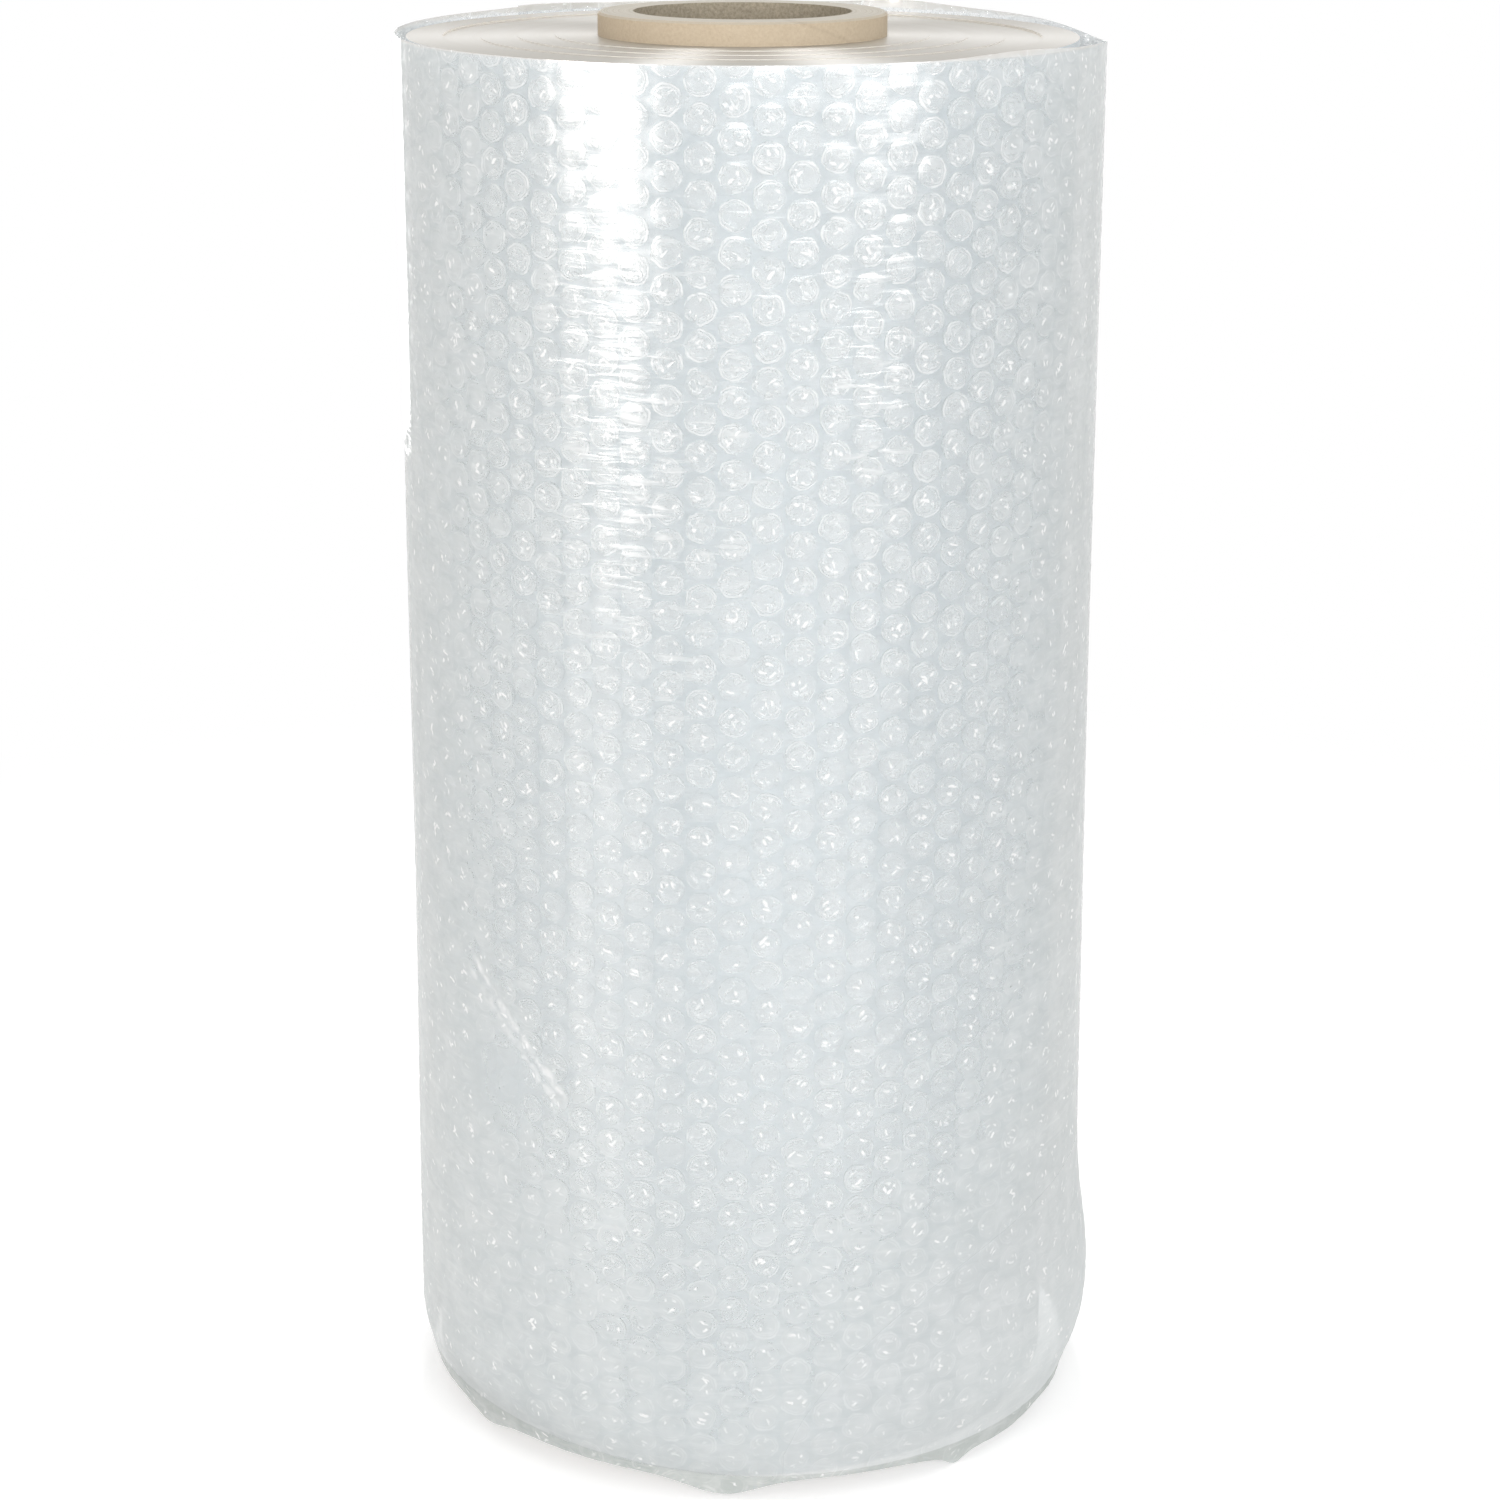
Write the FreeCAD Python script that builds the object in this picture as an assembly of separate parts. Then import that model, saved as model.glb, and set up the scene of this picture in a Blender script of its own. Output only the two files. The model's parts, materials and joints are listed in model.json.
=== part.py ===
import FreeCAD, Part
import math
import os

# Machine roll of stretch wrap, standing on end, in a sleeve of bubble film.
# Millimetres. The core's axis is Z, and the core's lower end stands on Z = 0.
# Angles are counted about Z from +X, so the side at -Y is at -90 degrees.

# Core: a wound paper tube.
core_bore_diameter = 76.2
core_wall = 12.5
core_overhang = 8.0
core_edge_bevel = 0.8

# Film: the stretch wrap itself, wound on the core.
film_width = 500.0
film_diameter = 235.0
film_tail_step = 0.4
film_tail_angle = 60.0
face_band_width = 13.0
face_band_step = 0.2

# Sleeve: one sheet of bubble film, its flat side out and its bubbles against the roll.
sheet_skin = 0.5
bubble_height = 3.1
bubble_diameter = 10.0
column_pitch = 11.0
pucker_depth = 0.7
sleeve_clearance = 0.2
sleeve_slack = 2.9
lap_width = 50.0
lap_rise_width = 36.0
lap_gap = 0.2
lap_angle = 108.0

# The sleeve's upper edge: its rise above the film in front and behind, and its high and low spots,
# each at an angle, with a height and a half width in degrees.
top_rise_front = 0.6
top_rise_behind = 2.2
top_spots = [(62, 1.6, 10), (128, 0.7, 9), (-45, 1.6, 12), (8, -4.0, 20)]

# The sleeve's lower edge: its rise above the film's lower end on the tight side and on the slack
# side, and its droops, each at an angle, with a share of the core's overhang and a half width.
hem_rise_tight = 1.8
hem_rise_slack = -1.0
hem_droops = [(-94, 0.65, 9), (-51, 0.75, 7), (-143, 0.35, 8), (-18, 0.35, 16),
              (58, 0.5, 14), (104, 0.3, 7), (152, 0.55, 18)]

# Strips of clear tape that close the sleeve's lap.
tape_width = 48.0
tape_length = 110.0
tape_thickness = 0.3
tape_clearance = 0.1
tape_ramp = 6.0
tape_count = 3
tape_margin = 55.0

# Derived sizes.
bore_radius = core_bore_diameter / 2
core_radius = bore_radius + core_wall
core_length = film_width + 2 * core_overhang
film_radius = film_diameter / 2
film_bottom = core_overhang
film_top = film_bottom + film_width
sheet_thickness = sheet_skin + bubble_height
sleeve_inner = film_radius + sleeve_clearance + sleeve_slack
sleeve_outer = sleeve_inner + sheet_thickness
column_count = round(2 * math.pi * sleeve_outer / column_pitch)
column_angle = 360.0 / column_count
lap_columns = max(1, round(lap_width / column_pitch))
rise_columns = max(1, round(lap_rise_width / column_pitch))
lap_lift = sheet_thickness + lap_gap
bubble_angle = math.degrees(bubble_diameter / sleeve_outer)
cutter_reach = 20.0


def polar(radius, degrees, height=0.0, centre_x=0.0):
    angle = math.radians(degrees)
    return FreeCAD.Vector(centre_x + radius * math.cos(angle), radius * math.sin(angle), height)


def make_core():
    """Paper tube, cut square, with its outer edges broken."""
    tube = Part.makeCylinder(core_radius, core_length)
    ends = [edge for edge in tube.Edges if isinstance(edge.Curve, Part.Circle)]
    tube = tube.makeChamfer(core_edge_bevel, ends)
    return tube.cut(Part.makeCylinder(bore_radius, core_length))


def spiral_face(inner, outer, start_angle):
    """Disc whose edge grows from inner to outer in one turn, with a step where the film's tail ends."""
    arc_count = 4

    def on_spiral(share):
        return polar(inner + (outer - inner) * share, start_angle + 360 * share)

    edges = []
    for i in range(arc_count):
        shares = (i / arc_count, (i + 0.5) / arc_count, (i + 1) / arc_count)
        edges.append(Part.Arc(*[on_spiral(share) for share in shares]).toShape())
    edges.append(Part.makeLine(on_spiral(1), on_spiral(0)))
    return Part.Face(Part.Wire(edges))


def band_recess(index):
    """How far a band of turns lies below the end face: the turns wander a little as they are wound."""
    return face_band_step * ((3 * index) % 4)


def make_film_roll():
    """The wound film as one solid, with bands of turns on its end faces and the tail's edge on its side."""
    wound_depth = film_radius - core_radius
    band_count = max(1, int(wound_depth / face_band_width))
    radii = [film_radius - face_band_width * i for i in range(band_count)] + [core_radius]
    radii[0] = film_radius + cutter_reach
    upper = []
    lower = []
    for i in range(band_count):
        recess = band_recess(i)
        for radius in (radii[i], radii[i + 1]):
            upper.append(FreeCAD.Vector(radius, 0, film_top - recess))
            lower.append(FreeCAD.Vector(radius, 0, film_bottom + recess))
    outline = upper + lower[::-1]
    profile = Part.Face(Part.makePolygon(outline + outline[:1]))
    banded = profile.revolve(FreeCAD.Vector(0, 0, 0), FreeCAD.Vector(0, 0, 1), 360)
    wound = spiral_face(film_radius - film_tail_step, film_radius, film_tail_angle)
    return wound.extrude(FreeCAD.Vector(0, 0, film_top + film_bottom)).common(banded)


def sheet_lift(column):
    """The sheet's rise off the roll, which brings its outer end over its inner end at the lap."""
    share = (column - (column_count - rise_columns)) / rise_columns
    share = min(1.0, max(0.0, share))
    return lap_lift * share


def sheet_point(radius, column):
    angle = lap_angle + column * column_angle
    return polar(radius + sheet_lift(column), angle, centre_x=sleeve_slack)


def sheet_section():
    """Section of the sheet: puckered skin outside, a row of bubbles inside, and a lap where it closes."""
    skin_inside = sleeve_outer - sheet_skin
    crease = sleeve_outer - pucker_depth
    web = (1 - bubble_angle / column_angle) / 2
    web_radius = skin_inside - pucker_depth
    total = column_count + lap_columns
    edges = []
    for i in range(total):
        points = [sheet_point(crease, i), sheet_point(sleeve_outer, i + 0.5), sheet_point(crease, i + 1)]
        edges.append(Part.Arc(*points).toShape())
    edges.append(Part.makeLine(sheet_point(crease, total), sheet_point(web_radius, total)))
    for i in range(total - 1, -1, -1):
        near = sheet_point(web_radius, i + 1 - web)
        tip = sheet_point(sleeve_inner, i + 0.5)
        far = sheet_point(web_radius, i + web)
        edges.append(Part.makeLine(sheet_point(web_radius, i + 1), near))
        edges.append(Part.Arc(near, tip, far).toShape())
        edges.append(Part.makeLine(far, sheet_point(web_radius, i)))
    edges.append(Part.makeLine(sheet_point(web_radius, 0), sheet_point(crease, 0)))
    return Part.Face(Part.Wire(edges))


def swing(low, high, share):
    """Value that goes from low, at a share of -1, to high, at a share of 1."""
    return (low + high) / 2 + (high - low) / 2 * share


def spots_at(degrees, spots):
    """Sum of smooth local rises and dips, each given as an angle, a height and a half width."""
    total = 0.0
    for centre, height, half_width in spots:
        apart = (degrees - centre + 180) % 360 - 180
        total += height * math.exp(-(apart / half_width) ** 2)
    return total


def top_edge_height(degrees):
    """The sleeve's upper edge: level with the film in front, and standing clear of it behind."""
    rise = swing(top_rise_front, top_rise_behind, math.sin(math.radians(degrees)))
    return film_top + rise + spots_at(degrees, top_spots)


def hem_height(degrees):
    """The sleeve's lower edge: it hangs past the film's lower end, and droops towards the ground."""
    rise = swing(hem_rise_tight, hem_rise_slack, math.cos(math.radians(degrees)))
    return film_bottom + rise - core_overhang * spots_at(degrees, hem_droops)


def edge_cutter(edge_height, rise):
    """Ring that removes what lies beyond a waving edge of the sleeve, above it or below it."""
    points_per_turn = 72
    rings = []
    for radius in (sleeve_inner - cutter_reach, sleeve_outer + lap_lift + cutter_reach):
        points = []
        for i in range(points_per_turn):
            angle = 360.0 * i / points_per_turn
            points.append(polar(radius, angle, edge_height(angle), sleeve_slack))
        curve = Part.BSplineCurve()
        curve.interpolate(points, PeriodicFlag=True)
        rings.append(curve.toShape())
    return Part.makeRuledSurface(*rings).extrude(FreeCAD.Vector(0, 0, rise))


def make_sleeve():
    """Bubble film sleeve: the sheet's section run the length of the roll, with its two edges cut wavy."""
    section = sheet_section()
    low = film_bottom - core_overhang
    high = film_top + core_overhang
    section.translate(FreeCAD.Vector(0, 0, low))
    sheet = section.extrude(FreeCAD.Vector(0, 0, high - low))
    sheet = sheet.cut(edge_cutter(top_edge_height, cutter_reach))
    return sheet.cut(edge_cutter(hem_height, -cutter_reach))


def tape_section():
    """Section of one tape strip: flat on the lap, down over its free edge, and on along the sheet below."""
    low = sleeve_outer + tape_clearance
    high = low + lap_lift
    edge_angle = lap_angle + lap_columns * column_angle
    half_angle = math.degrees(tape_length / 2 / low)
    ramp_angle = math.degrees(tape_ramp / low)
    crest_angle = edge_angle + 0.1 * ramp_angle
    foot_angle = crest_angle + ramp_angle

    def arc(radius, first, last):
        points = [polar(radius, angle, 0, sleeve_slack) for angle in (first, (first + last) / 2, last)]
        return Part.Arc(*points).toShape()

    def line(radius_a, angle_a, radius_b, angle_b):
        return Part.makeLine(polar(radius_a, angle_a, 0, sleeve_slack), polar(radius_b, angle_b, 0, sleeve_slack))

    outer = tape_thickness
    first = edge_angle - half_angle
    last = edge_angle + half_angle
    edges = [
        arc(high, first, crest_angle),
        line(high, crest_angle, low, foot_angle),
        arc(low, foot_angle, last),
        line(low, last, low + outer, last),
        arc(low + outer, last, foot_angle),
        line(low + outer, foot_angle, high + outer, crest_angle),
        arc(high + outer, crest_angle, first),
        line(high + outer, first, high, first),
    ]
    return Part.Face(Part.Wire(edges))


def make_tape():
    """Strips of tape across the lap, spread evenly up the sleeve."""
    section = tape_section()
    span = film_width - 2 * tape_margin - tape_width
    strips = []
    for i in range(tape_count):
        bottom = film_bottom + tape_margin + span * i / (tape_count - 1)
        strip = section.extrude(FreeCAD.Vector(0, 0, tape_width))
        strip.translate(FreeCAD.Vector(0, 0, bottom))
        strips.append(strip)
    return Part.makeCompound(strips)


def main():
    pieces = {
        "core": make_core(),
        "film_roll": make_film_roll(),
        "bubble_sleeve": make_sleeve(),
        "closing_tape": make_tape(),
    }
    os.makedirs("parts", exist_ok=True)
    for name, shape in pieces.items():
        shape.exportStep("parts/" + name + ".step")
        box = shape.BoundBox
        print(name, "valid", shape.isValid(), "solids", len(shape.Solids), "faces", len(shape.Faces),
              "volume %.0f" % shape.Volume, "x %.1f %.1f y %.1f %.1f z %.2f %.2f" % (
                  box.XMin, box.XMax, box.YMin, box.YMax, box.ZMin, box.ZMax))


main()
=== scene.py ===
import json
import math

import bpy
import numpy as np
from mathutils import Matrix, Vector


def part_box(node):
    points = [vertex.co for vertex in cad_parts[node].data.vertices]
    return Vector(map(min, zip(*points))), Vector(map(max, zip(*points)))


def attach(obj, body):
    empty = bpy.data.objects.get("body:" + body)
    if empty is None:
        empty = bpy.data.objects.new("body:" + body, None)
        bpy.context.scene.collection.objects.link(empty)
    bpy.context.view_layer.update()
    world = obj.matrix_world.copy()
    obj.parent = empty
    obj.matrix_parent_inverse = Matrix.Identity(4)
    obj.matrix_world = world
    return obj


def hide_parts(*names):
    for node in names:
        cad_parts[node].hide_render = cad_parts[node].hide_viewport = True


# Stretch wrap roll on a paper core, standing on end in a sleeve of bubble film.
# Metres, in the CAD's frame: the core's axis is Z, and angles count about Z from +X.

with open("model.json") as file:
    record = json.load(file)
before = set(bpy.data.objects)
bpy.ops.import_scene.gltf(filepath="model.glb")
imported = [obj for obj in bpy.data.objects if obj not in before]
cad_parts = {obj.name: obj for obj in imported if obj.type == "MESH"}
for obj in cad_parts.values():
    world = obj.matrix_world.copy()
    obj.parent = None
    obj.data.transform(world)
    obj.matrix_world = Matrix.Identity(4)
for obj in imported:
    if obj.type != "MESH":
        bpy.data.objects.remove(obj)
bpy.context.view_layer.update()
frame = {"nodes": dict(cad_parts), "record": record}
core_low, core_high = (np.array(corner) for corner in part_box("core"))
film_low, film_high = (np.array(corner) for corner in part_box("film_roll"))

# The roll, read from the frame, but for the film's full radius, which lies just at the step of its tail.
core_radius = (core_high[0] - core_low[0]) / 2
bore_radius = frame["record"]["mounts"][0]["dims"]["r_mm"] / 1000
film_radius = 0.1175
film_bottom = film_low[2]
film_top = film_high[2]

# The sheet of bubble film. It has the sizes of the CAD's sleeve, whose columns of bubbles are single ribs.
sheet_skin = 0.0005
bubble_height = 0.0031
column_pitch = 0.011
sleeve_clearance = 0.0002
sleeve_slack = 0.0029
lap_angle = 108.0
lap_columns = 5
rise_columns = 3
lap_gap = 0.0002
sheet_thickness = sheet_skin + bubble_height
sleeve_outer = film_radius + sleeve_clearance + sleeve_slack + sheet_thickness
column_count = round(2 * math.pi * sleeve_outer / column_pitch)
column_angle = 360.0 / column_count
total_columns = column_count + lap_columns
lap_lift = sheet_thickness + lap_gap

# Its bubbles, which the CAD doesn't part into rows. They go into a few pieces of equal size.
row_pitch = 0.012
bubble_radius = 0.0054
first_row = film_top - 0.004
bubble_piece_count = 3

# Puckers between the bubbles: their depth, and how far from a bubble's centre they start and end.
pucker_depth = 0.00018
pucker_start = 0.0040
pucker_end = 0.0064

# One dome of the bubble film: rings from its foot to its cap, as shares of its radius and depth. A full
# dome reaches dome_fill of the bubbles' height, and only rings deeper than cap_depth are dented.
dome_segments = 16
dome_radii = np.array([1.0, 0.95, 0.85, 0.68, 0.40])
dome_depths = np.array([0.02, 0.45, 0.76, 0.92, 0.98])
dome_wall_rings = 2
dome_fill = 0.94
cap_depth = 0.6

# How the bubbles vary: how far from round they are, how full, how many are half empty and how full those
# are, how much a crushed one loses, and how far caps tilt and sink in the middle. Dents have a half width
# and a depth, as shares of the radius and of the bubbles' height.
most_out_of_round = 0.045
least_full = 0.78
half_empty_share = 0.10
half_empty_full = (0.3, 0.55)
crushed_loss = 0.8
most_tilt = 0.12
most_sunk = 0.25
dents_each = 2
dent_half = (0.12, 0.3)
most_dent = 0.24

# How the slack sleeve stands out near the ground, bulges on its slack side and is tucked in at its hem.
flare_level = 0.05
flare_end = 0.42
flare_all_round = 0.0012
flare_slack = 0.0016
flare_tight = 0.0012
bulge_size = 0.0052
bulge_level = 0.042
bulge_half = 0.032
tuck_level = 0.030
tuck_tight = 0.0056
tuck_slack = 0.0050

# Marks of handling, each at an angle and a height: a crease between two places, the patch of crushed
# bubbles beside it, and the places where the film is pulled into level wrinkles, with their half widths.
crease_start = (-139.5, 0.191)
crease_end = (-121.5, 0.153)
crease_depth = 0.0006
crease_half = 0.0026
crushed_place = (-135.0, 0.150)
crushed_radius = 0.021
# The level wrinkles' painted highlights are strongest at the pulled places too.
pulled_places = [(-107.0, 0.375, 13.0, 0.060), (-72.0, 0.400, 6.0, 0.030)]

# The sheet's upper edge and its hem: high and low spots, each at an angle, with a height or a share of the
# film's height off the ground, and a half width.
top_rise_front = 0.0006
top_rise_behind = 0.0022
top_spots = [(62, 0.0016, 10), (128, 0.0007, 9), (-45, 0.0016, 12), (8, -0.004, 20)]
hem_rise_tight = 0.0018
hem_rise_slack = -0.001
hem_droops = [
    (-94, 0.80, 8), (-51, 0.42, 8), (-51, 0.42, 2.5), (-143, 0.55, 6), (-38, 0.45, 9),
    (-12, 0.45, 14), (58, 0.5, 14), (104, 0.3, 7), (152, 0.55, 18)]

# Strips of clear tape across the lap. Each drops over the lap's free edge between two angles past it.
tape_width = 0.048
tape_length = 0.110
tape_count = 3
tape_margin = 0.055
tape_offset = 0.0003
tape_drop_start = 0.1
tape_drop_end = 2.6


def swing(low, high, share):
    """Value that goes from low, at a share of -1, to high, at a share of 1."""
    return (low + high) / 2 + (high - low) / 2 * share


def spots_at(degrees, spots):
    """Sum of smooth local rises and dips round the sheet."""
    total = np.zeros_like(degrees)
    for centre, height, half_width in spots:
        apart = (degrees - centre + 180) % 360 - 180
        total = total + height * np.exp(-(apart / half_width) ** 2)
    return total


def top_edge_height(degrees):
    rise = swing(top_rise_front, top_rise_behind, np.sin(np.radians(degrees)))
    return film_top + rise + spots_at(degrees, top_spots)


def hem_height(degrees):
    rise = swing(hem_rise_tight, hem_rise_slack, np.cos(np.radians(degrees)))
    return film_bottom + rise - film_bottom * spots_at(degrees, hem_droops)


def smooth_step(low, high, value):
    share = np.clip((value - low) / (high - low), 0.0, 1.0)
    return share * share * (3 - 2 * share)


# ---------------------------------------------------------------- the sheet's shape

def sheet_angle(column):
    return lap_angle + column * column_angle


def sheet_column(degrees):
    """Place across the sheet, in columns, of an angle on the part of the sheet that shows."""
    return (degrees - lap_angle) % 360 / column_angle


def waves(along, height, seed, count, wave_along, wave_height, size):
    """Smooth irregular waves: cosines whose lengths and directions are drawn with a fixed seed."""
    draw = np.random.RandomState(seed)
    total = np.zeros_like(along)
    for _ in range(count):
        turn = 2 * math.pi * along / (wave_along * draw.uniform(0.6, 1.8)) * draw.choice([-1, 1])
        climb = 2 * math.pi * height / (wave_height * draw.uniform(0.7, 1.5))
        total = total + np.cos(turn + climb + draw.uniform(0, 2 * math.pi))
    return size * total / math.sqrt(count)


def slow_bend(degrees, height):
    """The sheet's slow bends, which the tape follows too."""
    around = np.radians(degrees) * sleeve_outer
    return waves(around, height, seed=3, count=5, wave_along=0.16, wave_height=0.30, size=0.00022)


def flare(degrees, height):
    """How far the slack sleeve stands out near the ground, most of all on its slack side."""
    low_down = 1 - smooth_step(flare_level, flare_end, height)
    side = np.cos(np.radians(degrees))
    slack = np.clip(side, 0, 1)
    tight = np.clip(-side, 0, 1)
    bulge = bulge_size * np.exp(-((height - bulge_level) / bulge_half) ** 2) * slack
    tuck = (1 - smooth_step(0.0, tuck_level, height)) * swing(tuck_tight, tuck_slack, side)
    return low_down * (flare_all_round + flare_slack * slack + flare_tight * tight) + bulge - tuck


def pulled(column, height):
    """How much the film is pulled into level wrinkles, from 0 to 1."""
    total = np.zeros_like(column * height)
    for degrees, level, half_turn, half_rise in pulled_places:
        across = (column - sheet_column(degrees)) * column_angle / half_turn
        total = np.maximum(total, np.exp(-across ** 2 - ((height - level) / half_rise) ** 2))
    return total


def crease_distance(column, height):
    """Distance in the sheet to the diagonal crease."""
    first = np.array([sheet_column(crease_start[0]) * column_pitch, crease_start[1]])
    last = np.array([sheet_column(crease_end[0]) * column_pitch, crease_end[1]])
    run = last - first
    along = column * column_pitch - first[0]
    down = height - first[1]
    share = np.clip((along * run[0] + down * run[1]) / (run @ run), 0.0, 1.0)
    return np.hypot(along - share * run[0], down - share * run[1])


def crushed(column, height):
    """How much the bubbles are crushed, from 0 to 1."""
    across = (column - sheet_column(crushed_place[0])) * column_pitch
    away = np.hypot(across, height - crushed_place[1])
    return 1 - smooth_step(0.6 * crushed_radius, 1.1 * crushed_radius, away)


def nearest_bubble(column, height):
    """Distance in the sheet from each point to the centre of the nearest bubble."""
    best = np.full(np.broadcast(column, height).shape, 1.0)
    for step in (-1, 0, 1):
        which = np.floor(column) + step
        across = (column - which - 0.5) * column_pitch
        phase = first_row - (which % 2) * row_pitch / 2
        rows = np.round((phase - height) / row_pitch)
        down = height - (phase - rows * row_pitch)
        best = np.minimum(best, np.hypot(across, down))
    return best


def sheet_radius(column, height):
    """Radius of the flat film about the sleeve's own axis."""
    degrees = sheet_angle(column)
    along = column * column_pitch
    lift = lap_lift * np.clip((column - (column_count - rise_columns)) / rise_columns, 0, 1)
    ripple = waves(along, height, seed=11, count=14, wave_along=0.060, wave_height=0.011, size=0.000025)
    ripple = ripple * (1 + 1.5 * pulled(column, height))
    pucker = pucker_depth * smooth_step(pucker_start, pucker_end, nearest_bubble(column, height))
    crease = crease_depth * np.exp(-(crease_distance(column, height) / crease_half) ** 2)
    shaped = sleeve_outer + lift + flare(degrees, height) + slow_bend(degrees, height)
    return shaped + ripple - pucker - crease


def place(radius, degrees, height):
    """Points from a radius and an angle about the sleeve's axis, which is off the core's by the slack."""
    angle = np.radians(degrees)
    return np.stack([sleeve_slack + radius * np.cos(angle), radius * np.sin(angle), height], axis=-1)


# ---------------------------------------------------------------- meshes

def make_piece(name, points, blocks, uv, material_rows=None):
    """Mesh piece from points and blocks of equal faces, smooth shaded and riding on the only body."""
    mesh = bpy.data.meshes.new(name)
    corners = np.concatenate([block.ravel() for block in blocks])
    sizes = np.concatenate([np.full(len(block), block.shape[1]) for block in blocks])
    starts = np.concatenate([[0], np.cumsum(sizes)[:-1]])
    points = points.reshape(-1, 3)
    mesh.vertices.add(len(points))
    mesh.vertices.foreach_set("co", points.astype(np.float32).ravel())
    mesh.loops.add(len(corners))
    mesh.loops.foreach_set("vertex_index", corners.astype(np.int32))
    mesh.polygons.add(len(sizes))
    mesh.polygons.foreach_set("loop_start", starts.astype(np.int32))
    mesh.polygons.foreach_set("use_smooth", np.ones(len(sizes), bool))
    if material_rows is not None:
        mesh.polygons.foreach_set("material_index", material_rows.astype(np.int32))
    mesh.update(calc_edges=True)
    layer = mesh.uv_layers.new(name="sheet")
    layer.data.foreach_set("uv", uv.reshape(-1, 2)[corners].astype(np.float32).ravel())
    piece = bpy.data.objects.new(name, mesh)
    bpy.context.scene.collection.objects.link(piece)
    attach(piece, "root")
    return piece


def grid_faces(rows, columns):
    """Quads of a grid of points, rows by columns, counted row by row."""
    corner = np.arange((rows - 1) * columns).reshape(rows - 1, columns)[:, :-1].ravel()
    return np.stack([corner, corner + 1, corner + columns + 1, corner + columns], axis=1)


def make_skin():
    """The sheet's flat film: one open surface from the hem to the upper edge, with a lap."""
    per_column = 5
    rows = 252
    edge_zone = 0.012
    column = np.arange(total_columns * per_column + 1) / per_column
    degrees = sheet_angle(column)
    low = hem_height(degrees)
    high = top_edge_height(degrees)
    level = np.linspace(film_bottom, film_top, rows)[:, None]
    near_hem = 1 - smooth_step(film_bottom, film_bottom + edge_zone, level)
    near_top = smooth_step(film_top - edge_zone, film_top, level)
    height = level + near_hem * (low - film_bottom) + near_top * (high - film_top)
    column = np.broadcast_to(column, height.shape)
    points = place(sheet_radius(column, height), sheet_angle(column), height)
    uv = np.stack([column * column_pitch, height], axis=-1)
    return make_piece("sleeve_skin", points, [grid_faces(rows, column.shape[1])], uv)


def bubble_centres():
    """Column place and height of each bubble in the staggered pattern that lies within the sheet."""
    inside = 0.4 * bubble_radius
    centres = []
    for column in range(total_columns):
        degrees = np.array(sheet_angle(column + 0.5))
        height = first_row - (column % 2) * row_pitch / 2 + row_pitch
        while height > hem_height(degrees) + inside:
            if height < top_edge_height(degrees) + inside:
                centres.append((column + 0.5, height))
            height -= row_pitch
    return np.array(centres)


def crumple(draw, count, x, y, depth):
    """Dents of a bubble's cap: soft creases at random places and directions, drawn for each bubble."""
    shape = (count, 1, 1)
    for _ in range(dents_each):
        turn = draw.uniform(0, math.pi, shape)
        offset = draw.uniform(-0.6, 0.6, shape)
        width = draw.uniform(*dent_half, shape)
        size = draw.uniform(0.0, most_dent, shape) * draw.choice([0.3, 1.0], shape)
        away = x * np.cos(turn) + y * np.sin(turn) - offset
        depth = depth - size * np.exp(-(away / width) ** 2)
    return depth


def dome_shapes(draw, centres):
    """Points of each bubble's dome, about its centre, and their depths. Some bubbles are half empty."""
    count = len(centres)
    shape = (count, 1, 1)
    turn = (2 * math.pi * np.arange(dome_segments) / dome_segments)[None, None, :]
    lobes = draw.choice([2, 3, 4, 5], shape)
    out_of_round = draw.uniform(0.0, most_out_of_round, shape)
    uneven = out_of_round * np.cos(lobes * turn + draw.uniform(0, 6.3, shape))
    ring = dome_radii[None, :, None] * (1 + uneven)
    x = ring * np.cos(turn)
    y = ring * np.sin(turn)
    full = draw.uniform(least_full, 1.0, shape)
    half_empty = draw.uniform(0, 1, shape) < half_empty_share
    full = np.where(half_empty, draw.uniform(*half_empty_full, shape), full)
    full = full * (1 - crushed_loss * crushed(centres[:, 0], centres[:, 1])[:, None, None])
    tilt_x = draw.uniform(-most_tilt, most_tilt, shape)
    tilt_y = draw.uniform(-most_tilt, most_tilt, shape)
    body = dome_depths[None, :, None]
    depth = body * (1 + (tilt_x * x + tilt_y * y) * body)
    dented = crumple(draw, count, x, y, depth)
    depth = np.where(body > cap_depth, dented, depth) * full * dome_fill
    middle = dome_fill * full[:, 0, :] - draw.uniform(0, most_sunk, (count, 1))
    at_centre = np.zeros((count, 1))
    x = np.concatenate([x.reshape(count, -1), at_centre], axis=1)
    y = np.concatenate([y.reshape(count, -1), at_centre], axis=1)
    return x, y, np.concatenate([depth.reshape(count, -1), middle], axis=1)


def dome_faces(count):
    """Quads and triangles of the domes, and which of them are caps."""
    ring_count = len(dome_radii)
    per_bubble = ring_count * dome_segments + 1
    start = (np.arange(count) * per_bubble)[:, None, None]
    band = np.arange(ring_count - 1)[None, :, None] * dome_segments
    this = np.arange(dome_segments)[None, None, :]
    after = (this + 1) % dome_segments
    inner = start + band + dome_segments
    quads = np.stack([start + band + this, start + band + after, inner + after, inner + this], axis=-1)
    last = start + (ring_count - 1) * dome_segments
    centre = start + per_bubble - 1 + 0 * this
    fans = np.stack([last + this, last + after, centre], axis=-1)
    capped = np.broadcast_to(band >= dome_wall_rings * dome_segments, quads.shape[:3]).ravel()
    capped = np.concatenate([capped, np.ones(fans[..., 0].size, bool)])
    return [quads.reshape(-1, 4), fans.reshape(-1, 3)], capped


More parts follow.
